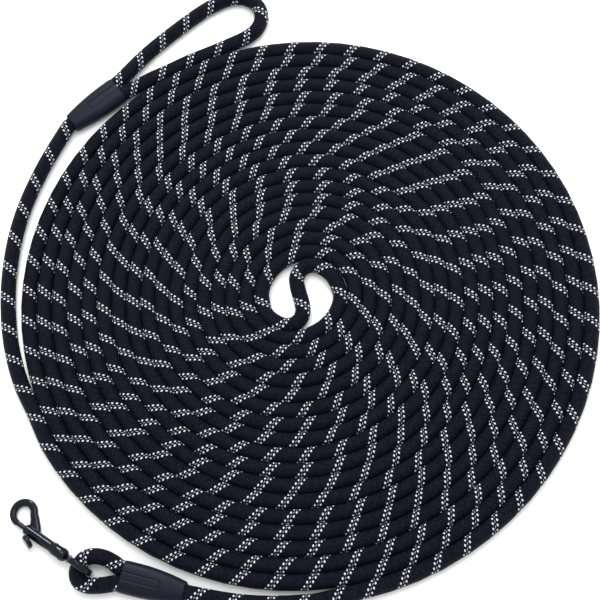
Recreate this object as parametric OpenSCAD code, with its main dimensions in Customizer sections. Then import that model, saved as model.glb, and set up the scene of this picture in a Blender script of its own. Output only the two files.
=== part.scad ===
// Training leash: one long round braided rope wound into a flat two-arm coil,
// a hand loop on one end and a swivel bolt snap on the other.
// Millimetres, +Z up, lying on z = 0, origin under the middle of the coil.

/* [Rope] */
// Diameter of the braided rope
rope_d = 12; // [10:0.5:13]
// Radius of the innermost turns at the middle of the rope
coil_start_r = 30; // [29:0.5:32]
// Turns in the arm that ends at the hand loop
handle_arm_turns = 8.45; // [8.4:0.01:8.5]
// Turns in the arm that ends at the snap
clip_arm_turns = 8.76; // [8.7:0.01:8.8]

/* [Moulded sleeves] */
// Length of each sleeve
sleeve_l = 51; // [45:1:64]
// Width of the mouth, where two ropes enter side by side
sleeve_mouth_w = 25.5; // [24:0.5:32]
// Width of the tail, where one rope leaves
sleeve_tail_w = 16.5; // [15:0.5:21]
// Height of a sleeve
sleeve_h = 15; // [14.4:0.2:18]
// Depth of the long recess in the top face
recess_depth = 0.6; // [0.3:0.1:0.8]
// Width of the long recess
recess_w = 8; // [5:0.5:10]

/* [Splices inside the sleeves] */
// Width of each rope where it is squeezed inside a sleeve
squeezed_w = 9.4; // [8:0.2:10]
// Height of each rope where it is squeezed inside a sleeve
squeezed_h = 11; // [10:0.2:12]
// Length over which the rope is doubled
doubled_l = 30; // [24:1:34]
// Length of the crimp round the doubled rope
crimp_l = 16; // [10:1:18]
// Wall of the crimp
crimp_wall = 0.7; // [0.5:0.1:1]
// Thickness of the melted seal on the cut end of the rope
seal_t = 1.5; // [1:0.5:3]

/* [Swivel eye] */
// Inner radius of the eye that the rope passes through
eye_inner_r = 8.6; // [8.4:0.1:10]
// Thickness of the eye across its ring
eye_wire = 3; // [2.6:0.2:3.6]
// Width of the eye along the rope
eye_w = 5; // [4.5:0.5:6]
// Radius of the swivel stem
stem_r = 1.8; // [1.5:0.1:2.2]
// Radius of the peened head that keeps the stem in its cage
head_r = 3; // [2.6:0.1:3.1]

/* [Snap body] */
// Distance from the middle of the eye to the mouth of the barrel
barrel_end = 55; // [54:1:58]
// Outer radius of the barrel
barrel_r = 4.2; // [4.1:0.1:5]
// Outer radius of the cage round the swivel head
cage_r = 5.4; // [5.3:0.1:6.5]
// Width of the window through the cage
window_w = 6.6; // [6.5:0.1:7]
// Middle radius of the hook's bow
hook_bow_r = 8.7; // [8:0.1:10]
// Thickness of the hook's bow
hook_d = 5.2; // [4.6:0.2:6]

/* [Bolt] */
// Diameter of the sliding bolt
bolt_d = 4; // [3.4:0.2:4.4]
// Radius of the collar that runs in the barrel
collar_r = 2.8; // [2.6:0.1:3]
// How far the bolt slides back
bolt_travel = 9.5; // [8:0.5:10]
// Diameter of the thumb knob
knob_d = 11; // [8:0.5:12]
// Thickness of the thumb knob
knob_t = 3.6; // [2.5:0.1:4]
// Outer diameter of the bolt's spring
spring_d = 5; // [4.4:0.2:5.2]
// Thickness of the spring's wire
spring_wire = 0.6; // [0.4:0.1:0.8]

/* [Hidden] */
$fn = 64;

rope_r = rope_d / 2;
// Gap left between two parts that move past each other
clear = 0.3;
// Radial gap of a shaft that turns or slides in its hole
run_fit = 0.08;
rope_black = "#17181c";
cast_black = "#1c1d20";
moulded_black = "#232428";

// Coil. Both arms run clockwise outwards, seen from above, and lie between each other.
handle_arm_start = 12.5;
clip_arm_start = handle_arm_start + 180;
arm_gain = 2 * rope_d;
// The turns are a little oval. Each row is how far they lie out: all round, by cos and sin of
// the angle, and by cos and sin of twice the angle; the rows grow with the radius past mid_r
mid_r = 150;
oval = [[-0.2, 0.7, -0.6, -0.3, 0.4], [0.3, -1.7, 0, -0.2, -1.9], [1.5, -1.5, 0.8, 1.3, -0.4]];
// The outer turns lie loose where the arms leave
loose = 1.3;
loose_a = -105;
loose_from_r = 190;
outline_step = 1 / 60;

// Where the rope leaves the coil's handle arm, up to the handle sleeve
handle_lead_route = [
  [-212, -99, 6], [-225.5, -74, 6], [-236, -44, 6], [-242, -12, 6], [-244, 18, 6],
  [-242.5, 49, 6], [-237.5, 77, 6], [-229, 104, 6.2], [-219, 128, 6.7], [-210, 146, 7.2]];
// Round the hand loop, from the sleeve's outer mouth to its inner mouth
handle_loop_route = [
  [-156.5, 207.5, 7], [-143, 224, 6.3], [-127, 240, 6], [-113.5, 252, 6], [-100, 263.5, 6],
  [-87, 273, 6], [-74, 280, 6], [-61, 282.5, 6], [-50, 279, 6], [-42.5, 271, 6], [-40.5, 260, 6],
  [-44.5, 249.5, 6], [-53.5, 241.5, 6], [-66, 235, 6], [-83, 227, 6], [-100, 219.5, 6],
  [-117, 210.5, 6.3], [-134, 201.5, 6.8], [-148.5, 193, 7.3]];
// Where the rope leaves the coil's clip arm, up to the clip sleeve
clip_lead_route = [
  [21, -244, 6], [4, -246, 6], [-14, -247, 6], [-32, -246.7, 6.3], [-49, -245.2, 6.8], [-64, -242.9, 7.2]];
// Round the rope's eye that holds the snap
clip_loop_route = [
  [-138.5, -217.8, 7.8], [-145, -214.8, 8.3], [-152, -213.6, 8.9], [-158.6, -214.8, 9.8], [-162.8, -219, 10.2],
  [-165.2, -226, 10.2], [-163.6, -232, 9.8], [-158, -235.5, 9], [-150.5, -235.8, 8.4], [-142.5, -235, 7.9]];
tube_sides = 12;

// Sleeves: the middle of the mouth, and the direction towards the tail
handle_sleeve_at = [-163.5, 190.5];
handle_sleeve_turn = 220;
clip_sleeve_at = [-131, -228.3];
clip_sleeve_turn = -13;
sleeve_edge_r = 5;
sleeve_fn = 32;
recess_l = 32;
// Straight stretch of rope as it comes out of a sleeve
straight = 3;
crimp_from = 8;
leg_offset = rope_r + 0.1;

// Snap: the middle of the eye, its direction, and the tilt that lays the hook on the ground
eye_outer_r = eye_inner_r + eye_wire;
snap_at = [-163.6, -221.6, eye_outer_r];
snap_turn = 148;
hook_at = [barrel_end + 9, -hook_bow_r];
hook_reach = hook_at[0] + hook_bow_r;
snap_tilt = asin((eye_outer_r - hook_d / 2) / hook_reach);
hook_back = -165;
// The stem from the bow to the barrel: its corners beside the barrel's mouth, and its thickness
stem_inner = barrel_end - 1.2;
stem_outer = barrel_end - 13;
stem_t = 4.6;
cage_start = eye_outer_r + 1.6;
cage_wall = 3;
window_start = cage_start + cage_wall;
window_end = window_start + 8.8;
washer_t = 0.5;
head_t = 1.6;
plug_t = 2;
plug_end = window_end + 0.4 + plug_t;
collar_l = 6;
collar_end = barrel_end - 4.5;
collar_start = collar_end - collar_l;
barrel_bore_r = collar_r + run_fit;
knob_at = collar_end - 2.2;
neck_r = 1.15;
slot_w = 2 * neck_r + 2 * clear;
slot_lean = 20;
knob_lean = 15;
knob_out = barrel_r + 3.7;
knob_back = 2.2;
nose_l = 1.2;
spring_turns = 9;
spring_steps = 10;

// ---- curves ----
function unit(v) = v / norm(v);
function polar(r, a) = [r * cos(a), r * sin(a)];
function lifted(p, z) = [p[0], p[1], z];

// How far the middle of the rope is from the coil's middle, t turns out along an arm
function plain_r(t) = coil_start_r + arm_gain * t;
function row(c, a) = c[0] + c[1] * cos(a) + c[2] * sin(a) + c[3] * cos(2 * a) + c[4] * sin(2 * a);
function out_of_round(x, a) = row(oval[0], a) + row(oval[1], a) * x + row(oval[2], a) * x * x;
function loosened(r, a) = loose * min(1.3, max(0, (r - loose_from_r) / 30)) * pow(max(0, cos(a - loose_a)), 4);
function laid_r(r, a) = r + out_of_round(max(60, r) / 100 - mid_r / 100, a) + loosened(r, a);
function handle_arm_a(t) = handle_arm_start - 360 * t;
function clip_arm_a(t) = clip_arm_start - 360 * t;
function handle_arm_r(t) = laid_r(plain_r(t), handle_arm_a(t));
function clip_arm_r(t) = laid_r(plain_r(t), clip_arm_a(t));
function handle_arm(t) = polar(handle_arm_r(t), handle_arm_a(t));
function clip_arm(t) = polar(clip_arm_r(t), clip_arm_a(t));

// Points across a sleeve's ends, and the way out of its mouth
function out_of(turn) = [-cos(turn), -sin(turn), 0];
function in_sleeve(at, turn, x, y) = [
  at[0] + x * cos(turn) - y * sin(turn), at[1] + x * sin(turn) + y * cos(turn), sleeve_h / 2];
function leg(at, turn, side) = in_sleeve(at, turn, 0, side * leg_offset);
function tail(at, turn) = in_sleeve(at, turn, sleeve_l, 0);

// ---- swept tube ----
function along(p, i) = unit(p[min(i + 1, len(p) - 1)] - p[max(i - 1, 0)]);
function ring(p, i, r, sides, up) =
  let (t = along(p, i), s = unit(cross(up, t)), n = cross(t, s))
  [for (k = [0 : sides - 1]) p[i] + r * (cos(360 * k / sides) * s + sin(360 * k / sides) * n)];

module tube(p, r, sides, up = [0, 0, 1]) {
  last = (len(p) - 1) * sides;
  polyhedron(
    points = [for (i = [0 : len(p) - 1]) each ring(p, i, r, sides, up)],
    faces = concat(
      [[for (k = [0 : sides - 1]) k]],
      [for (i = [0 : len(p) - 2], k = [0 : sides - 1])
        [i * sides + k, (i + 1) * sides + k, (i + 1) * sides + (k + 1) % sides, i * sides + (k + 1) % sides]],
      [[for (k = [sides - 1 : -1 : 0]) last + k]]),
    convexity = 6);
}

// ---- rope ----
// Edge of the hole on each side of the S at the middle of the rope
hole_edge = [
  [1.5, -29], [6.3, -23], [8.2, -17], [8.4, -11], [7, -4], [5, 3], [3.4, 9], [3.8, 14.5],
  [7, 18.3], [12, 19.5], [18, 18.3], [23, 14], [26, 7], [26.8, -1], [24.8, -9.5], [20.5, -16.5],
  [14, -22.8], [7, -27]];

module rope_coil() {
  half = 0.5;
  inner_from = handle_arm_turns - half;
  clip_edge = [for (t = [inner_from : outline_step : clip_arm_turns])
    polar(clip_arm_r(t) + rope_r, clip_arm_a(t))];
  handle_edge = [for (t = [clip_arm_turns - half : outline_step : handle_arm_turns])
    polar(handle_arm_r(t) + rope_r, handle_arm_a(t))];
  color(rope_black)
    difference() {
      linear_extrude(rope_d) polygon(concat(
        clip_edge, [polar(clip_arm_r(clip_arm_turns) + rope_r, clip_arm_a(clip_arm_turns))],
        handle_edge, [polar(handle_arm_r(handle_arm_turns) + rope_r, handle_arm_a(handle_arm_turns))]));
      for (side = [0, 180])
        translate([0, 0, -1]) rotate([0, 0, side]) linear_extrude(rope_d + 2) polygon(hole_edge);
    }
}

module rope_handle_lead() {
  from = lifted(handle_arm(handle_arm_turns), rope_r);
  on = from + straight * unit(lifted(polar(1, handle_arm_a(handle_arm_turns) - 90), 0));
  end = tail(handle_sleeve_at, handle_sleeve_turn);
  before = end - straight * out_of(handle_sleeve_turn);
  color(rope_black) tube(concat([from, on], handle_lead_route, [before, end]), rope_r, tube_sides);
}

module rope_handle_loop() {
  from = leg(handle_sleeve_at, handle_sleeve_turn, -1);
  end = leg(handle_sleeve_at, handle_sleeve_turn, 1);
  out = straight * out_of(handle_sleeve_turn);
  color(rope_black) tube(concat([from, from + out], handle_loop_route, [end + out, end]), rope_r, tube_sides);
}

module rope_clip_lead() {
  from = lifted(clip_arm(clip_arm_turns), rope_r);
  on = from + straight * unit(lifted(polar(1, clip_arm_a(clip_arm_turns) - 90), 0));
  end = tail(clip_sleeve_at, clip_sleeve_turn);
  before = end - straight * out_of(clip_sleeve_turn);
  color(rope_black) tube(concat([from, on], clip_lead_route, [before, end]), rope_r, tube_sides);
}

module rope_clip_loop() {
  from = leg(clip_sleeve_at, clip_sleeve_turn, 1);
  end = leg(clip_sleeve_at, clip_sleeve_turn, -1);
  out = straight * out_of(clip_sleeve_turn);
  color(rope_black) tube(concat([from, from + out], clip_loop_route, [end + out, end]), rope_r, tube_sides);
}

// ---- splices and sleeves, drawn from the mouth at x = 0 to the tail along +x ----
module at_handle_sleeve() {
  translate([handle_sleeve_at[0], handle_sleeve_at[1], sleeve_h / 2]) rotate([0, 0, handle_sleeve_turn]) children();
}

module at_clip_sleeve() {
  translate([clip_sleeve_at[0], clip_sleeve_at[1], sleeve_h / 2]) rotate([0, 0, clip_sleeve_turn]) children();
}

// A bar along +x whose section is a rectangle w by h with half-round sides top and bottom
module oval_bar(w, h, l) {
  rotate([90, 0, 90]) linear_extrude(l) {
    translate([0, (h - w) / 2]) circle(d = w);
    translate([0, -(h - w) / 2]) circle(d = w);
    square([w, h - w], center = true);
  }
}

// A bar along +x whose section is w by h with round corners
module round_bar(w, h, l, r) {
  rotate([90, 0, 90]) linear_extrude(l) {
    for (y = [-1, 1], z = [-1, 1])
      translate([y * (w / 2 - r), z * (h / 2 - r)]) circle(r);
    square([w, h - 2 * r], center = true);
    square([w - 2 * r, h], center = true);
  }
}

module splice() {
  color(rope_black) {
    for (side = [-1, 1])
      translate([0, side * squeezed_w / 2, 0]) oval_bar(squeezed_w, squeezed_h, doubled_l);
    hull() {
      translate([doubled_l, -squeezed_w / 2, 0]) oval_bar(squeezed_w, squeezed_h, 0.1, $fn = 32);
      translate([sleeve_l, 0, 0]) rotate([0, -90, 0]) cylinder(r = rope_r, h = 0.1, $fn = 32);
    }
  }
}

// The room that the doubled rope and its crimp take up inside a sleeve
module splice_room() {
  translate([-1, 0, 0]) round_bar(2 * squeezed_w, squeezed_h, doubled_l + 1, squeezed_w / 2);
  translate([crimp_from, 0, 0])
    round_bar(2 * (squeezed_w + crimp_wall), squeezed_h + 2 * crimp_wall, crimp_l, squeezed_w / 2 + crimp_wall);
  hull() {
    translate([doubled_l, 0, 0]) round_bar(2 * squeezed_w, squeezed_h, seal_t, squeezed_w / 2, $fn = 32);
    translate([sleeve_l + 1, 0, 0]) rotate([0, -90, 0]) cylinder(r = rope_r, h = 0.1, $fn = 32);
  }
}

module crimp() {
  color("#9a9da1") translate([crimp_from, 0, 0]) difference() {
    round_bar(2 * (squeezed_w + crimp_wall), squeezed_h + 2 * crimp_wall, crimp_l, squeezed_w / 2 + crimp_wall);
    translate([-1, 0, 0]) round_bar(2 * squeezed_w, squeezed_h, crimp_l + 2, squeezed_w / 2);
  }
}

module rope_seal() {
  color("#0c0c0e") translate([doubled_l, squeezed_w / 2, 0]) oval_bar(squeezed_w * 0.8, squeezed_h * 0.8, seal_t);
}

module sleeve() {
  color(moulded_black) difference() {
    hull() {
      round_bar(sleeve_mouth_w, sleeve_h, 1, sleeve_edge_r, $fn = sleeve_fn);
      translate([sleeve_l * 0.45, 0, 0])
        round_bar(sleeve_mouth_w - 0.9, sleeve_h, 1, sleeve_edge_r, $fn = sleeve_fn);
      translate([sleeve_l * 0.82, 0, 0])
        round_bar(sleeve_tail_w + 3.8, sleeve_h - 0.2, 1, sleeve_edge_r, $fn = sleeve_fn);
      translate([sleeve_l - 1, 0, 0])
        round_bar(sleeve_tail_w, sleeve_h - 1, 1, sleeve_edge_r, $fn = sleeve_fn);
    }
    splice_room();
    translate([recess_l - recess_w / 2, 0, sleeve_h / 2 - recess_depth]) cylinder(d = recess_w, h = recess_depth + 1);
    translate([-1, -recess_w / 2, sleeve_h / 2 - recess_depth])
      cube([recess_l - recess_w / 2 + 1, recess_w, recess_depth + 1]);
  }
}

module handle_splice() { at_handle_sleeve() splice(); }
module clip_splice() { at_clip_sleeve() splice(); }
module handle_crimp() { at_handle_sleeve() crimp(); }
module clip_crimp() { at_clip_sleeve() crimp(); }
module handle_rope_seal() { at_handle_sleeve() rope_seal(); }
module clip_rope_seal() { at_clip_sleeve() rope_seal(); }
module handle_sleeve() { at_handle_sleeve() sleeve(); }
module clip_sleeve() { at_clip_sleeve() sleeve(); }

// ---- swivel and snap, drawn from the middle of the eye along +x to the hook ----
module at_snap() {
  translate(snap_at) rotate([0, 0, snap_turn]) rotate([0, snap_tilt, 0]) children();
}

// A round bar along +x from x = a to x = b
module bar(a, b, r1, r2) {
  translate([a, 0, 0]) rotate([0, 90, 0]) cylinder(h = b - a, r1 = r1, r2 = r2);
}

module swivel_eye() {
  neck_end = cage_start - clear;
  head_start = window_start + washer_t + 2 * run_fit;
  color(cast_black) at_snap() {
    difference() {
      union() {
        rotate([90, 0, 0]) rotate_extrude() translate([eye_inner_r + eye_wire / 2, 0]) {
          for (side = [-1, 1]) translate([0, side * (eye_w - eye_wire) / 2]) circle(d = eye_wire);
          square([eye_wire, eye_w - eye_wire], center = true);
        }
        bar(eye_outer_r - eye_wire / 2, neck_end, 3, stem_r + 0.8);
      }
      rotate([90, 0, 0]) cylinder(r = eye_inner_r, h = eye_w + 2, center = true);
    }
    bar(neck_end - 0.1, head_start + 0.1, stem_r, stem_r);
    bar(head_start, head_start + head_t, head_r, head_r * 0.75);
  }
}

module swivel_washer() {
  color("#6f7276") at_snap() translate([window_start + run_fit, 0, 0]) rotate([0, 90, 0]) difference() {
    cylinder(r = head_r, h = washer_t);
    translate([0, 0, -1]) cylinder(r = stem_r + run_fit, h = washer_t + 2);
  }
}

module snap_shell() {
  rotate([0, 90, 0]) rotate_extrude() polygon([
    [0, cage_start], [cage_r * 0.7, cage_start], [cage_r * 0.93, cage_start + 2], [cage_r, cage_start + 5],
    [cage_r, window_end - 3], [cage_r * 0.93, window_end], [barrel_r, window_end + 4],
    [barrel_r, barrel_end - 0.5], [barrel_r - 0.5, barrel_end], [0, barrel_end]]);
  translate([hook_at[0], hook_at[1], 0]) rotate([0, 0, hook_back])
    rotate_extrude(angle = 90 - hook_back) translate([hook_bow_r, 0]) circle(d = hook_d);
  translate([hook_at[0], hook_at[1], -stem_t / 2]) linear_extrude(stem_t) polygon([
    [-6.4, -1.6], [-3, -4.4], [-3.5, -9.2], [-7.5, -9.4], [-11.4, -6.8],
    [stem_outer - hook_at[0], hook_bow_r - 3], [stem_outer - hook_at[0], hook_bow_r],
    [stem_inner - hook_at[0], hook_bow_r], [stem_inner - hook_at[0], hook_bow_r - 3]]);
}

module snap_body() {
  color(cast_black) at_snap() difference() {
    snap_shell();
    bar(cage_start - 1, window_start + 1, stem_r + run_fit, stem_r + run_fit);
    translate([window_start, -10, -window_w / 2]) cube([window_end - window_start, 20, window_w]);
    bar(window_end - 1, collar_end, barrel_bore_r, barrel_bore_r);
    bar(collar_end - 1, barrel_end + 1, bolt_d / 2 + run_fit, bolt_d / 2 + run_fit);
    rotate([slot_lean - 90, 0, 0]) linear_extrude(barrel_r + 2) {
      translate([plug_end + 2, -slot_w / 2]) square([knob_at - plug_end - 2, slot_w]);
      translate([knob_at, 0]) circle(d = slot_w);
    }
    bar(hook_at[0] - 1, hook_at[0] + nose_l + clear, bolt_d / 2 - 0.4, bolt_d / 2 - 0.4);
  }
}

module spring_plug() {
  color("#7c7f84") at_snap() bar(window_end + 0.4, plug_end, barrel_bore_r, barrel_bore_r);
}

module bolt_spring() {
  start = plug_end + spring_wire / 2;
  length = collar_start - plug_end - spring_wire;
  middle_r = (spring_d - spring_wire) / 2;
  steps = spring_turns * spring_steps;
  color("#8d9096") at_snap() tube(
    [for (i = [0 : steps]) [start + length * i / steps,
      middle_r * cos(360 * i / spring_steps), middle_r * sin(360 * i / spring_steps)]],
    spring_wire / 2, 6, [1, 0, 0]);
}

module sliding_bolt() {
  color("#2a2b2e") at_snap() difference() {
    union() {
      bar(collar_start, collar_end - 0.1, collar_r, collar_r);
      bar(collar_end - 0.2, hook_at[0] - 0.3, bolt_d / 2, bolt_d / 2);
      bar(hook_at[0] - 0.3, hook_at[0] + nose_l, bolt_d / 2 - 0.7, bolt_d / 2 - 0.9);
    }
    rotate([slot_lean - 90, 0, 0]) translate([knob_at, 0, 0]) cylinder(r = neck_r, h = collar_r + 1);
  }
}

module thumb_knob() {
  color(cast_black) at_snap() rotate([slot_lean, 0, 0]) {
    translate([knob_at, 0, 0]) rotate([-90, 0, 0]) cylinder(r = neck_r, h = knob_out);
    translate([knob_at - knob_back, knob_out, 0]) rotate([0, 0, -knob_lean]) rotate([-90, 0, 0])
      rotate_extrude() polygon([
        [0, -knob_t / 2], [knob_d / 2 - 0.8, -knob_t / 2], [knob_d / 2, -knob_t / 2 + 0.8],
        [knob_d / 2, knob_t / 2 - 0.8], [knob_d / 2 - 0.8, knob_t / 2], [0, knob_t / 2]]);
  }
}

rope_coil();
rope_handle_lead();
rope_handle_loop();
rope_clip_lead();
rope_clip_loop();
handle_splice();
clip_splice();
handle_crimp();
clip_crimp();
handle_rope_seal();
clip_rope_seal();
handle_sleeve();
clip_sleeve();
swivel_eye();
swivel_washer();
snap_body();
spring_plug();
bolt_spring();
sliding_bolt();
thumb_knob();
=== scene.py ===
import math
import bpy
import bmesh
from mathutils import Matrix, Vector


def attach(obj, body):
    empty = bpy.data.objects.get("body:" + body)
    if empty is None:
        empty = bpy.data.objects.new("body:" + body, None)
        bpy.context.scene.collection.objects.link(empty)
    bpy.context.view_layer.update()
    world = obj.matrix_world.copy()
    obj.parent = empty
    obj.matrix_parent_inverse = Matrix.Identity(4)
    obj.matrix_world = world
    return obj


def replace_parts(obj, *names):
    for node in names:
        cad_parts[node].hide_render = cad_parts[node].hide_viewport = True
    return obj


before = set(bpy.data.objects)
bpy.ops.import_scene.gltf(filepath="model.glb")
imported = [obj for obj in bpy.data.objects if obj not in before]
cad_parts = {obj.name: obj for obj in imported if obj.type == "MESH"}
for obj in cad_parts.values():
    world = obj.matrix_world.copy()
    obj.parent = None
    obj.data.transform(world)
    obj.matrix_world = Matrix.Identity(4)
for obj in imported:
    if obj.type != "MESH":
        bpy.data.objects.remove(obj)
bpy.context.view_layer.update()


# ---- Camera ----
# Above the leash and a little to the near side, a long lens turned about
# twelve degrees about its own line of sight.
scene = bpy.context.scene
eye = Vector((0.0754, -0.3432, 0.9721))
lean = math.radians(19.77)
heading = math.radians(12.5)
roll = math.radians(-11.82)
side0 = Vector((math.cos(heading), math.sin(heading), 0))
up0 = Vector((-math.sin(heading) * math.cos(lean), math.cos(heading) * math.cos(lean), math.sin(lean)))
side = math.cos(roll) * side0 + math.sin(roll) * up0
up = -math.sin(roll) * side0 + math.cos(roll) * up0
back = side.cross(up)
lens = bpy.data.cameras.new("camera")
lens.lens = 75.45
lens.sensor_width = 36
lens.clip_start = 0.05
lens.clip_end = 20
camera = bpy.data.objects.new("camera", lens)
camera.matrix_world = Matrix((
    (side.x, up.x, back.x, eye.x),
    (side.y, up.y, back.y, eye.y),
    (side.z, up.z, back.z, eye.z),
    (0, 0, 0, 1)))
scene.collection.objects.link(camera)
scene.camera = camera


# ---- Rope ----
# 12 mm round braid, 50 ft of it in one piece. It is laid out from the hand
# loop's sleeve into the coil's outer arm, round to the S at the middle and
# out again by the other arm to the snap's sleeve.
ROPE_D = 0.012
ROPE_R = ROPE_D / 2
SHEATH_SIDES = 24
# The braid is drawn this much fuller, so that turns lying side by side touch
FULLER = 0.00027
ARM_START = 12.5
ARM_START_R = 0.030
HAND_TURNS = 8.45
CLIP_TURNS = 8.76


def laid(r, a):
    """The turns lie a little out of round, and a little loose where the arms leave."""
    x = max(0.06, r) * 10 - 1.5
    a1, a2 = math.radians(a), math.radians(2 * a)
    out = -0.2 + 0.7 * math.cos(a1) - 0.6 * math.sin(a1) - 0.3 * math.cos(a2) + 0.4 * math.sin(a2)
    out += (0.3 - 1.7 * math.cos(a1) - 0.2 * math.cos(a2) - 1.9 * math.sin(a2)) * x
    out += (1.5 - 1.5 * math.cos(a1) + 0.8 * math.sin(a1) + 1.3 * math.cos(a2) - 0.4 * math.sin(a2)) * x * x
    loose = 1.3 * min(1.3, max(0, (r - 0.190) / 0.030)) * max(0, math.cos(math.radians(a + 105))) ** 4
    return r + (out + loose) / 1000


def arm(start, turns, steps=72):
    """The rope's middle along one arm of the coil, from the inside out."""
    line = []
    for k in range(int(turns * steps) + 1):
        t = k / steps
        a = start - 360 * t
        r = laid(ARM_START_R + 2 * ROPE_D * t, a)
        line.append(Vector((r * math.cos(math.radians(a)), r * math.sin(math.radians(a)), ROPE_R)))
    return line


def millimetres(points):
    return [Vector(p) / 1000 for p in points]


def smooth(points, gap):
    """A line through the points, with a point every so many metres."""
    line = [points[0]]
    for i in range(len(points) - 1):
        a, b = points[i], points[i + 1]
        before = points[i - 1] if i else a
        after = points[i + 2] if i + 2 < len(points) else b
        n = max(1, round((b - a).length / gap))
        for k in range(1, n + 1):
            t = k / n
            line.append(0.5 * (2 * a + (b - before) * t + (2 * before - 5 * a + 4 * b - after) * t * t
                               + (3 * a - before - 3 * b + after) * t ** 3))
    return line


def sleeve_point(at, turn, x, y=0.0):
    c, s = math.cos(math.radians(turn)), math.sin(math.radians(turn))
    return Vector((at[0] + x * c - y * s, at[1] + x * s + y * c, 0.0075))


SLEEVE_L = 0.051
HAND_AT, HAND_TURN = (-0.1635, 0.1905), 220
CLIP_AT, CLIP_TURN = (-0.131, -0.2283), -13
LEG = ROPE_R + 0.0001


def lead_end(at, turn):
    return [sleeve_point(at, turn, SLEEVE_L + 0.003), sleeve_point(at, turn, SLEEVE_L - 0.003)]


hand_lead = millimetres([
    (-212, -99, 6), (-225.5, -74, 6), (-236, -44, 6), (-242, -12, 6), (-244, 18, 6),
    (-242.5, 49, 6), (-237.5, 77, 6), (-229, 104, 6.2), (-219, 128, 6.7), (-210, 146, 7.2)])
hand_lead += lead_end(HAND_AT, HAND_TURN)
clip_lead = millimetres([
    (21, -244, 6), (4, -246, 6), (-14, -247, 6), (-32, -246.7, 6.3), (-49, -245.2, 6.8),
    (-64, -242.9, 7.2)])
clip_lead += lead_end(CLIP_AT, CLIP_TURN)
half_s = millimetres([
    (27.7, 15, 6), (20.2, 22.4, 6), (11.9, 25.9, 6), (4.3, 24.9, 6), (-1, 20.3, 6),
    (-2.9, 13.5, 6), (-1.9, 6.3, 6)])
middle = half_s + [Vector((0, 0, ROPE_R))] + [Vector((-p.x, -p.y, p.z)) for p in reversed(half_s)]
hand_arm = arm(ARM_START, HAND_TURNS)
clip_arm = arm(ARM_START + 180, CLIP_TURNS)
in_to_out = smooth([clip_arm[-1]] + clip_lead, 0.006)
out_to_in = smooth([hand_arm[-1]] + hand_lead, 0.006)
bend = smooth([hand_arm[2]] + middle + [clip_arm[2]], 0.002)
main_line = list(reversed(out_to_in)) + list(reversed(hand_arm[3:-1])) + bend + clip_arm[3:-1] + in_to_out

hand_loop = [sleeve_point(HAND_AT, HAND_TURN, x, -LEG) for x in (0.004, -0.003)]
hand_loop += millimetres([
    (-156.5, 207.5, 7), (-143, 224, 6.3), (-127, 240, 6), (-113.5, 252, 6), (-100, 263.5, 6),
    (-87, 273, 6), (-74, 280, 6), (-61, 282.5, 6), (-50, 279, 6), (-42.5, 271, 6), (-40.5, 260, 6),
    (-44.5, 249.5, 6), (-53.5, 241.5, 6), (-66, 235, 6), (-83, 227, 6), (-100, 219.5, 6),
    (-117, 210.5, 6.3), (-134, 201.5, 6.8), (-148.5, 193, 7.3)])
hand_loop += [sleeve_point(HAND_AT, HAND_TURN, x, LEG) for x in (-0.003, 0.004)]
clip_loop = [sleeve_point(CLIP_AT, CLIP_TURN, x, LEG) for x in (0.004, -0.003)]
clip_loop += millimetres([
    (-138.5, -217.8, 7.8), (-145, -214.8, 8.3), (-152, -213.6, 8.9), (-158.6, -214.8, 9.8),
    (-162.8, -219, 10.2), (-165.2, -226, 10.2), (-163.6, -232, 9.8), (-158, -235.5, 9),
    (-150.5, -235.8, 8.4), (-142.5, -235, 7.9)])
clip_loop += [sleeve_point(CLIP_AT, CLIP_TURN, x, -LEG) for x in (-0.003, 0.004)]
hand_line = smooth(hand_loop, 0.0035)
clip_line = smooth(clip_loop, 0.002)


def value_socket(group, name, kind, default, least=None, most=None):
    s = group.interface.new_socket(name=name, in_out="INPUT", socket_type=kind)
    if default is not None:
        s.default_value = default
    if least is not None:
        s.min_value = least
        s.max_value = most


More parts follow.
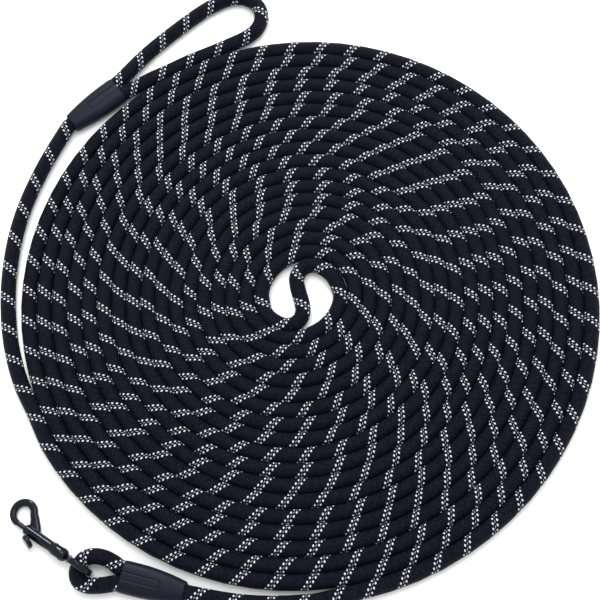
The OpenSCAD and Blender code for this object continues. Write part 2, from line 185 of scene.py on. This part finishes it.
def braid_fields():
    """Shader group: a two-directional braid from the rope's own UV, u once round, v in metres along."""
    g = bpy.data.node_groups.new("braid_fields", "ShaderNodeTree")
    value_socket(g, "UV", "NodeSocketVector", None)
    value_socket(g, "Strands each way", "NodeSocketFloat", 12.0, 2, 40)
    value_socket(g, "Pitch", "NodeSocketFloat", 0.0268, 0.005, 0.2)
    for name in ("Height", "Tracer", "Strand", "Fibre"):
        g.interface.new_socket(name=name, in_out="OUTPUT", socket_type="NodeSocketFloat")
    n, link = g.nodes, g.links.new
    inp, out = n.new("NodeGroupInput"), n.new("NodeGroupOutput")

    def calc(op, a, b=None, c=None):
        m = n.new("ShaderNodeMath")
        m.operation = op
        for k, v in enumerate((a, b, c)):
            if v is None:
                continue
            if isinstance(v, (int, float)):
                m.inputs[k].default_value = v
            else:
                link(v, m.inputs[k])
        return m.outputs[0]

    uv = n.new("ShaderNodeSeparateXYZ")
    link(inp.outputs["UV"], uv.inputs[0])
    round_, along = uv.outputs["X"], calc("DIVIDE", uv.outputs["Y"], inp.outputs["Pitch"])
    count = inp.outputs["Strands each way"]
    s = calc("MULTIPLY", calc("ADD", round_, along), count)
    z = calc("MULTIPLY", calc("SUBTRACT", round_, along), count)
    s_cell, z_cell = calc("FLOOR", s), calc("FLOOR", z)
    s_in, z_in = calc("SUBTRACT", s, s_cell), calc("SUBTRACT", z, z_cell)
    s_over = calc("LESS_THAN", calc("FLOORED_MODULO", calc("ADD", s_cell, z_cell), 2), 0.5)
    z_over = calc("SUBTRACT", 1, s_over)
    s_bow = calc("SINE", calc("MULTIPLY", s_in, math.pi))
    z_bow = calc("SINE", calc("MULTIPLY", z_in, math.pi))
    across = calc("ADD", calc("MULTIPLY", s_bow, s_over), calc("MULTIPLY", z_bow, z_over))
    length = calc("ADD", calc("MULTIPLY", z_bow, s_over), calc("MULTIPLY", s_bow, z_over))
    height = calc("MULTIPLY", calc("POWER", across, 0.6), calc("POWER", length, 0.35))
    link(height, out.inputs["Height"])
    # two white strands with a dark one between, which carries a single white yarn
    place = calc("FLOORED_MODULO", s_cell, count)
    from_middle = calc("ABSOLUTE", calc("SUBTRACT", place, 1))
    outer = calc("LESS_THAN", calc("ABSOLUTE", calc("SUBTRACT", from_middle, 1)), 0.5)
    inner = calc("COMPARE", place, 1, 0.1)
    full = calc("MULTIPLY", outer, calc("GREATER_THAN", height, 0.5))
    thin = calc("MULTIPLY", inner, calc("MULTIPLY", calc("GREATER_THAN", s_bow, 0.93), 0.6))
    link(calc("MULTIPLY", calc("ADD", full, thin), s_over), out.inputs["Tracer"])
    cell = n.new("ShaderNodeCombineXYZ")
    link(place, cell.inputs[0])
    link(z_cell, cell.inputs[1])
    noise = n.new("ShaderNodeTexWhiteNoise")
    noise.noise_dimensions = "3D"
    link(cell.outputs[0], noise.inputs["Vector"])
    link(noise.outputs["Value"], out.inputs["Strand"])
    fine = calc("ADD", calc("MULTIPLY", s_in, s_over), calc("MULTIPLY", z_in, z_over))
    link(calc("SINE", calc("MULTIPLY", fine, 4 * 2 * math.pi)), out.inputs["Fibre"])
    return g


def rope_material():
    m = bpy.data.materials.new("rope_braid")
    m.use_nodes = True
    n, link = m.node_tree.nodes, m.node_tree.links.new
    shader = n["Principled BSDF"]
    uv = n.new("ShaderNodeUVMap")
    uv.uv_map = "braid"
    fields = n.new("ShaderNodeGroup")
    fields.node_tree = braid_fields()
    link(uv.outputs[0], fields.inputs["UV"])
    dark = n.new("ShaderNodeMix")
    dark.data_type = "RGBA"
    dark.inputs["A"].default_value = (0.0024, 0.0025, 0.0062, 1)
    dark.inputs["B"].default_value = (0.0080, 0.0083, 0.0165, 1)
    link(fields.outputs["Strand"], dark.inputs["Factor"])
    mix = n.new("ShaderNodeMix")
    mix.data_type = "RGBA"
    mix.inputs["B"].default_value = (0.55, 0.55, 0.62, 1)
    # painted shade: where the braid's height is low, in the gaps between strands, the colour is mixed
    # towards near black as painted shade
    painted_gap_shade = n.new("ShaderNodeMix")
    painted_gap_shade.data_type = "RGBA"
    painted_gap_shade.inputs["A"].default_value = (0.0004, 0.0004, 0.0012, 1)
    shade_by_height = n.new("ShaderNodeMapRange")
    shade_by_height.inputs["From Min"].default_value = 0.25
    shade_by_height.inputs["From Max"].default_value = 0.8
    link(fields.outputs["Height"], shade_by_height.inputs["Value"])
    link(shade_by_height.outputs[0], painted_gap_shade.inputs["Factor"])
    link(dark.outputs["Result"], painted_gap_shade.inputs["B"])
    link(painted_gap_shade.outputs["Result"], mix.inputs["A"])
    link(fields.outputs["Tracer"], mix.inputs["Factor"])
    link(mix.outputs["Result"], shader.inputs["Base Color"])
    shader.inputs["Roughness"].default_value = 0.62
    shader.inputs["Specular IOR Level"].default_value = 0.09
    shader.inputs["Specular Tint"].default_value = (0.75, 0.76, 1, 1)
    fibre = n.new("ShaderNodeMath")
    fibre.operation = "MULTIPLY_ADD"
    fibre.inputs[1].default_value = 0.05
    link(fields.outputs["Fibre"], fibre.inputs[0])
    link(fields.outputs["Height"], fibre.inputs[2])
    bump = n.new("ShaderNodeBump")
    bump.inputs["Strength"].default_value = 1
    bump.inputs["Distance"].default_value = 0.0007
    link(fibre.outputs[0], bump.inputs["Height"])
    link(bump.outputs[0], shader.inputs["Normal"])
    return m


def sheath_group():
    """Geometry Nodes: a round sheath along a curve, with the braid's UV on its corners."""
    g = bpy.data.node_groups.new("rope_sheath", "GeometryNodeTree")
    g.interface.new_socket(name="Geometry", in_out="OUTPUT", socket_type="NodeSocketGeometry")
    value_socket(g, "Geometry", "NodeSocketGeometry", None)
    value_socket(g, "Radius", "NodeSocketFloat", ROPE_R, 0.001, 0.05)
    value_socket(g, "Sides", "NodeSocketInt", SHEATH_SIDES, 6, 64)
    value_socket(g, "Sheath", "NodeSocketMaterial", None)
    n, link = g.nodes, g.links.new
    inp, out = n.new("NodeGroupInput"), n.new("NodeGroupOutput")

    def kept(source, field):
        c = n.new("GeometryNodeCaptureAttribute")
        c.capture_items.new("FLOAT", "kept")
        link(source, c.inputs["Geometry"])
        link(field, c.inputs["kept"])
        return c.outputs["Geometry"], c.outputs["kept"]

    along = n.new("GeometryNodeSplineParameter")
    line, at = kept(inp.outputs["Geometry"], along.outputs["Length"])
    arc = n.new("GeometryNodeCurveArc")
    arc.inputs["Sweep Angle"].default_value = 2 * math.pi
    add = n.new("ShaderNodeMath")
    add.operation = "ADD"
    add.inputs[1].default_value = 1
    link(inp.outputs["Sides"], add.inputs[0])
    link(add.outputs[0], arc.inputs["Resolution"])
    link(inp.outputs["Radius"], arc.inputs["Radius"])
    turn = n.new("GeometryNodeSplineParameter")
    profile, round_ = kept(arc.outputs["Curve"], turn.outputs["Factor"])
    sweep = n.new("GeometryNodeCurveToMesh")
    link(line, sweep.inputs["Curve"])
    link(profile, sweep.inputs["Profile Curve"])
    pair = n.new("ShaderNodeCombineXYZ")
    link(round_, pair.inputs[0])
    link(at, pair.inputs[1])
    store = n.new("GeometryNodeStoreNamedAttribute")
    store.data_type = "FLOAT2"
    store.domain = "CORNER"
    store.inputs["Name"].default_value = "braid"
    link(sweep.outputs["Mesh"], store.inputs["Geometry"])
    link(pair.outputs[0], store.inputs["Value"])
    merge = n.new("GeometryNodeMergeByDistance")
    merge.inputs["Distance"].default_value = 0.00005
    link(store.outputs[0], merge.inputs["Geometry"])
    paint = n.new("GeometryNodeSetMaterial")
    link(merge.outputs[0], paint.inputs["Geometry"])
    link(inp.outputs["Sheath"], paint.inputs["Material"])
    link(paint.outputs[0], out.inputs["Geometry"])
    return g


def set_input(modifier, name, value):
    for item in modifier.node_group.interface.items_tree:
        if item.item_type == "SOCKET" and item.in_out == "INPUT" and item.name == name:
            modifier[item.identifier] = value


SHEATH = sheath_group()
BRAID = rope_material()


def twist_at(s):
    """How far the rope has rolled about its own middle, in turns: it sways slowly as it is laid."""
    return 0.4 * math.sin(1.1 * s)


def rope(name, line):
    curve = bpy.data.curves.new(name + "_line", "CURVE")
    curve.dimensions = "3D"
    curve.twist_mode = "Z_UP"
    spline = curve.splines.new("POLY")
    spline.points.add(len(line) - 1)
    s = 0.0
    for i, (p, q) in enumerate(zip(spline.points, line)):
        s += (q - line[i - 1]).length if i else 0
        p.co = (q.x, q.y, q.z, 1)
        p.tilt = 2 * math.pi * twist_at(s)
    source = bpy.data.objects.new(name + "_line", curve)
    scene.collection.objects.link(source)
    nodes = source.modifiers.new("sheath", "NODES")
    nodes.node_group = SHEATH
    set_input(nodes, "Radius", ROPE_R + FULLER)
    set_input(nodes, "Sides", SHEATH_SIDES)
    set_input(nodes, "Sheath", BRAID)
    depsgraph = bpy.context.evaluated_depsgraph_get()
    mesh = bpy.data.meshes.new_from_object(source.evaluated_get(depsgraph), depsgraph=depsgraph)
    bpy.data.objects.remove(source)
    mesh.name = name
    mesh.shade_smooth()
    obj = bpy.data.objects.new(name, mesh)
    scene.collection.objects.link(obj)
    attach(obj, "leash")
    return obj


main_rope = rope("rope_main", main_line)
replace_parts(main_rope, "rope_coil", "rope_handle_lead", "rope_clip_lead")
hand_rope = rope("rope_hand_loop", hand_line)
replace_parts(hand_rope, "rope_handle_loop")
clip_rope = rope("rope_eye_of_snap", clip_line)
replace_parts(clip_rope, "rope_clip_loop")


# ---- Sleeves ----
# Two mouldings of the same black plastic over the rope's splices, 51 mm long:
# a wide mouth for two ropes, a narrow tail for one, and a long shallow recess
# in the top face that runs out through the mouth.
SLEEVE_HALF_H = 0.0075
SLEEVE_AROUND = 240
SLEEVE_STATIONS = 128


def sleeve_half_width(x):
    """Widest a little way in from the mouth, then narrowing in a curve to the tail."""
    return 0.0126 - 0.0046 * max(0, (x - 0.012) / 0.039) ** 1.9 - 0.0002 * max(0, 1 - x / 0.004)


def close_skin(bm, rings):
    """Faces between rings of equal count, and one over each end."""
    count = len(rings[0])
    faces = []
    for a, b in zip(rings, rings[1:]):
        for k in range(count):
            faces.append(bm.faces.new((a[k], a[(k + 1) % count], b[(k + 1) % count], b[k])))
    faces.append(bm.faces.new(rings[0]))
    faces.append(bm.faces.new(rings[-1]))
    bmesh.ops.recalc_face_normals(bm, faces=faces)


def object_from(bm, name):
    mesh = bpy.data.meshes.new(name)
    bm.to_mesh(mesh)
    bm.free()
    obj = bpy.data.objects.new(name, mesh)
    scene.collection.objects.link(obj)
    return obj


def recess_depth(x, y):
    """A pill-shaped hollow with a fine groove along its edge."""
    d = math.hypot(max(0.0, x - 0.0285), y)
    return 0.0004 * min(1, max(0, (0.0034 - d) / 0.0006)) + 0.0006 * math.exp(-((d - 0.0031) / 0.0004) ** 2)


def sleeve(name, at, turn, material):
    ends = 0.0012
    c, s = math.cos(math.radians(turn)), math.sin(math.radians(turn))
    bm = bmesh.new()

    def ring(x, inset, carve):
        half_w = sleeve_half_width(x) - inset
        half_h = SLEEVE_HALF_H - 0.0009 * (x / SLEEVE_L) ** 3 - inset
        verts = []
        for k in range(SLEEVE_AROUND):
            a = 2 * math.pi * k / SLEEVE_AROUND
            ca, sa = math.cos(a), math.sin(a)
            y = half_w * math.copysign(abs(ca) ** 0.72, ca)
            z = half_h * math.copysign(abs(sa) ** 0.78, sa)
            if carve and z > 0.003:
                z -= recess_depth(x, y)
            verts.append(bm.verts.new((at[0] + x * c - y * s, at[1] + x * s + y * c, SLEEVE_HALF_H + z)))
        return verts

    rows = [ring(0.004, 0.0011, False), ring(0.0006, 0.0010, True)]
    for k in range(SLEEVE_STATIONS + 1):
        x = k / SLEEVE_STATIONS * SLEEVE_L
        rounding = max(0, ends - x, ends - (SLEEVE_L - x))
        rows.append(ring(x, ends - math.sqrt(ends * ends - rounding * rounding), True))
    rows.append(ring(SLEEVE_L - 0.0005, 0.0016, False))
    rows.append(ring(SLEEVE_L - 0.004, 0.0018, False))
    close_skin(bm, rows)
    obj = object_from(bm, name)
    obj.data.shade_smooth()
    obj.data.materials.append(material)
    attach(obj, "leash")
    return obj


def grained(name, colour, rough, specular, grain, depth):
    """A principled material with a fine noise in its relief, colour and roughness."""
    m = bpy.data.materials.new(name)
    m.use_nodes = True
    n, link = m.node_tree.nodes, m.node_tree.links.new
    shader = n["Principled BSDF"]
    shader.inputs["Specular IOR Level"].default_value = specular
    shader.inputs["Specular Tint"].default_value = (0.85, 0.85, 1, 1)
    where = n.new("ShaderNodeTexCoord")
    noise = n.new("ShaderNodeTexNoise")
    noise.inputs["Scale"].default_value = grain
    noise.inputs["Detail"].default_value = 4
    link(where.outputs["Object"], noise.inputs["Vector"])
    broad = n.new("ShaderNodeTexNoise")
    broad.inputs["Scale"].default_value = grain / 12
    link(where.outputs["Object"], broad.inputs["Vector"])
    ramp = n.new("ShaderNodeMix")
    ramp.data_type = "RGBA"
    ramp.inputs["A"].default_value = (*[v * 0.8 for v in colour], 1)
    ramp.inputs["B"].default_value = (*[v * 1.2 for v in colour], 1)
    link(broad.outputs["Fac"], ramp.inputs["Factor"])
    link(ramp.outputs["Result"], shader.inputs["Base Color"])
    dull = n.new("ShaderNodeMapRange")
    dull.inputs["To Min"].default_value = rough - 0.06
    dull.inputs["To Max"].default_value = rough + 0.06
    link(broad.outputs["Fac"], dull.inputs["Value"])
    link(dull.outputs[0], shader.inputs["Roughness"])
    bump = n.new("ShaderNodeBump")
    bump.inputs["Distance"].default_value = depth
    bump.inputs["Strength"].default_value = 0.6
    link(noise.outputs["Fac"], bump.inputs["Height"])
    link(bump.outputs[0], shader.inputs["Normal"])
    return m


MOULDED = grained("moulded_plastic", (0.0062, 0.0058, 0.0130), 0.40, 0.10, 4200, 0.00006)
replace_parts(sleeve("sleeve_of_hand_loop", HAND_AT, HAND_TURN, MOULDED), "handle_sleeve")
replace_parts(sleeve("sleeve_at_snap", CLIP_AT, CLIP_TURN, MOULDED), "clip_sleeve")


# ---- Swivel bolt snap ----
# Die-cast zinc with a satin black coat: a hook and barrel in one casting, a
# sliding bolt with a thumb knob, and a swivel eye that the rope passes
# through. Drawn from the middle of the eye along +x, in millimetres, and laid
# down tilted so that the bow's far side rests on the ground.
EYE_OUTER = 11.6
BOW = (64, -8.7)
BOW_R = 8.7
HOOK_R = 2.6
SNAP_AT = (-0.1636, -0.2216)
SNAP_TURN = math.radians(148)
KNOB_AT = 48.3
SLOT_LEAN = Matrix.Rotation(math.radians(20), 4, "X")
lay_down = math.asin((EYE_OUTER - HOOK_R) / (BOW[0] + BOW_R))
SNAP = (Matrix.Translation((*SNAP_AT, EYE_OUTER / 1000)) @ Matrix.Rotation(SNAP_TURN, 4, "Z")
        @ Matrix.Rotation(lay_down, 4, "Y") @ Matrix.Scale(0.001, 4))


def turned_solid(bm, profile, sides=48, about="X", place=Matrix()):
    """A closed solid of revolution from (place along, radius) pairs."""
    rings = []
    for x, r in profile:
        ring = []
        for k in range(sides):
            a = 2 * math.pi * k / sides
            p = Vector((x, r * math.cos(a), r * math.sin(a)))
            if about == "Y":
                p = Vector((p.y, p.x, p.z))
            ring.append(bm.verts.new(place @ p))
        rings.append(ring)
    close_skin(bm, rings)


def swept_solid(bm, stations, sides=24, squareness=0.8):
    """A closed solid along stations of (x, y, width in the plane, height) with rounded-square sections."""
    rings = []
    for i, (x, y, w, h) in enumerate(stations):
        a = stations[max(0, i - 1)]
        b = stations[min(len(stations) - 1, i + 1)]
        across = Vector((-(b[1] - a[1]), b[0] - a[0], 0)).normalized()
        ring = []
        for k in range(sides):
            t = 2 * math.pi * k / sides
            c, s = math.cos(t), math.sin(t)
            u = w / 2 * math.copysign(abs(c) ** squareness, c)
            v = h / 2 * math.copysign(abs(s) ** squareness, s)
            ring.append(bm.verts.new(Vector((x, y, v)) + across * u))
        rings.append(ring)
    close_skin(bm, rings)


def casting(name, body, node, material, make, cut=None, voxel=0.3, soften=4):
    """Joins what make() draws into one soft-cornered skin, cuts what cut() draws, and lays it down."""
    bm = bmesh.new()
    make(bm)
    raw = object_from(bm, name + "_raw")
    skin = raw.modifiers.new("skin", "REMESH")
    skin.mode = "VOXEL"
    skin.voxel_size = voxel
    blank = None
    if cut:
        bm = bmesh.new()
        cut(bm)
        blank = object_from(bm, name + "_cut")
        hole = raw.modifiers.new("cut", "BOOLEAN")
        hole.operation = "DIFFERENCE"
        hole.object = blank
        hole.solver = "EXACT"
        hole.use_self = True
    ease = raw.modifiers.new("soften", "SMOOTH")
    ease.iterations = soften
    ease.factor = 0.5
    depsgraph = bpy.context.evaluated_depsgraph_get()
    mesh = bpy.data.meshes.new_from_object(raw.evaluated_get(depsgraph), depsgraph=depsgraph)
    bpy.data.objects.remove(raw)
    if blank:
        bpy.data.objects.remove(blank)
    mesh.transform(SNAP)
    mesh.name = name
    mesh.materials.clear()
    mesh.materials.append(material)
    mesh.shade_smooth()
    obj = bpy.data.objects.new(name, mesh)
    scene.collection.objects.link(obj)
    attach(obj, body)
    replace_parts(obj, node)


def draw_body(bm):
    turned_solid(bm, [(13.2, 3.4), (13.4, 4), (15, 4.9), (18, 5.4), (22, 5.4), (25, 5), (28.5, 4.2),
                      (53.6, 4.2), (54.6, 4), (55, 3.5)])
    bow = []
    for k in range(31):
        a = math.radians(90 - k * 8.2)
        far = k / 30
        bow.append((BOW[0] + BOW_R * math.cos(a), BOW[1] + BOW_R * math.sin(a),
                    4.9 + 1.2 * min(1, far * 2.2), 5 + 0.4 * math.sin(math.pi * far)))
    stem = [(54.8, -11.4, 6.6, 5.1), (52.4, -9, 7.4, 5), (50.4, -6.6, 8.4, 4.9), (48.6, -4.2, 9.6, 4.8),
            (47.4, -2, 10.4, 4.8)]
    swept_solid(bm, bow + stem)


def box_solid(bm, middle, size, place=Matrix()):
    made = bmesh.ops.create_cube(bm, size=1)["verts"]
    for v in made:
        v.co = place @ Vector([m + d * c for m, d, c in zip(middle, size, v.co)])


def cut_body(bm):
    """The barrel's bore, its mouth, the knob's slot and the window through the cage."""
    turned_solid(bm, [(30, 2.9), (50.5, 2.9)])
    turned_solid(bm, [(50, 2.1), (56, 2.1)])
    box_solid(bm, (41.7, 3, 0), (16.4, 6, 3.3), SLOT_LEAN)
    box_solid(bm, (21.2, 0, 0), (7, 20, 5.6))


def draw_eye(bm):
    turned_solid(bm, [(-2.5, EYE_OUTER - 0.9), (-1.8, EYE_OUTER), (1.8, EYE_OUTER), (2.5, EYE_OUTER - 0.9),
                      (2.5, 9.5), (-2.5, 9.5)], sides=96, about="Y")
    turned_solid(bm, [(9.4, 3.3), (11, 3.2), (12.8, 2.7)])
    turned_solid(bm, [(12, 1.8), (17.5, 1.8)])
    turned_solid(bm, [(17, 2.2), (17.2, 3), (18.2, 3), (19, 2)])


def cut_eye(bm):
    turned_solid(bm, [(-9, 8.65), (9, 8.65)], sides=96, about="Y")


def draw_bolt(bm):
    turned_solid(bm, [(44.5, 2.8), (50.4, 2.8)])
    turned_solid(bm, [(50, 2), (63.6, 2), (63.9, 1.7), (64.4, 1.2)])


def draw_knob(bm):
    """The knob's neck, and its disc set back and leaning towards the barrel."""
    neck = SLOT_LEAN @ Matrix.Translation((KNOB_AT, 0, 0))
    turned_solid(bm, [(0, 1.15), (8, 1.25)], about="Y", place=neck)
    disc = SLOT_LEAN @ Matrix.Translation((KNOB_AT - 2.2, 7.9, 0))
    disc = disc @ Matrix.Rotation(math.radians(-15), 4, "Z")
    rim = [(-2, 3.9), (-1.9, 4.9), (-1.2, 5.6), (0, 5.8), (1.2, 5.6), (1.9, 4.9), (2, 3.9)]
    turned_solid(bm, rim, about="Y", place=disc)


COATED = grained("coated_casting", (0.0030, 0.0030, 0.0065), 0.17, 0.22, 2600, 0.00002)
casting("snap_casting", "snap", "snap_body", COATED, draw_body, cut_body)
casting("eye_casting", "eye", "swivel_eye", COATED, draw_eye, cut_eye)
casting("bolt_rod", "bolt", "sliding_bolt", COATED, draw_bolt, voxel=0.2, soften=2)
casting("knob_casting", "bolt", "thumb_knob", COATED, draw_knob, voxel=0.25, soften=3)


# ---- Hidden pieces ----
# What the sleeves and the barrel hold keeps its CAD shape and gets a material.
inner = {
    "handle_splice": BRAID, "clip_splice": BRAID,
    "handle_crimp": grained("crimp_aluminium", (0.55, 0.56, 0.58), 0.4, 0.5, 3000, 0.00004),
    "swivel_washer": grained("plain_steel", (0.42, 0.43, 0.45), 0.35, 0.5, 3000, 0.00003),
    "handle_rope_seal": grained("melted_braid", (0.006, 0.006, 0.008), 0.5, 0.2, 900, 0.0002)}
inner["clip_crimp"] = inner["handle_crimp"]
inner["clip_rope_seal"] = inner["handle_rope_seal"]
inner["spring_plug"] = inner["bolt_spring"] = inner["swivel_washer"]
for node, material in inner.items():
    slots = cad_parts[node].data.materials
    slots.clear()
    slots.append(material)


# ---- Floor and light ----
# A plain pale floor under a bright even sky, with one large soft light
# overhead and a small one behind that picks out the barrel.
bpy.ops.mesh.primitive_plane_add(size=12, location=(0, 0, -0.0002))
floor = bpy.context.object
floor.name = "floor"
floor_paint = bpy.data.materials.new("floor")
floor_paint.use_nodes = True
paint = floor_paint.node_tree.nodes["Principled BSDF"]
paint.inputs["Base Color"].default_value = (0.95, 0.95, 0.95, 1)
paint.inputs["Roughness"].default_value = 0.9
floor.data.materials.append(floor_paint)


def soft_light(name, at, size, power):
    light = bpy.data.lights.new(name, "AREA")
    light.size = size
    light.energy = power
    o = bpy.data.objects.new(name, light)
    o.location = at
    o.rotation_euler = (-Vector(at)).to_track_quat("-Z", "Y").to_euler()
    scene.collection.objects.link(o)


soft_light("top", (0.1, 0.5, 1.9), 1.2, 22)
soft_light("back", (-0.35, 1.4, 1.25), 0.35, 24)
world = bpy.data.worlds.new("world")
world.use_nodes = True
sky = world.node_tree.nodes["Background"]
sky.inputs["Color"].default_value = (1, 1, 1, 1)
sky.inputs["Strength"].default_value = 1.1
scene.world = world
scene.view_settings.view_transform = "Standard"
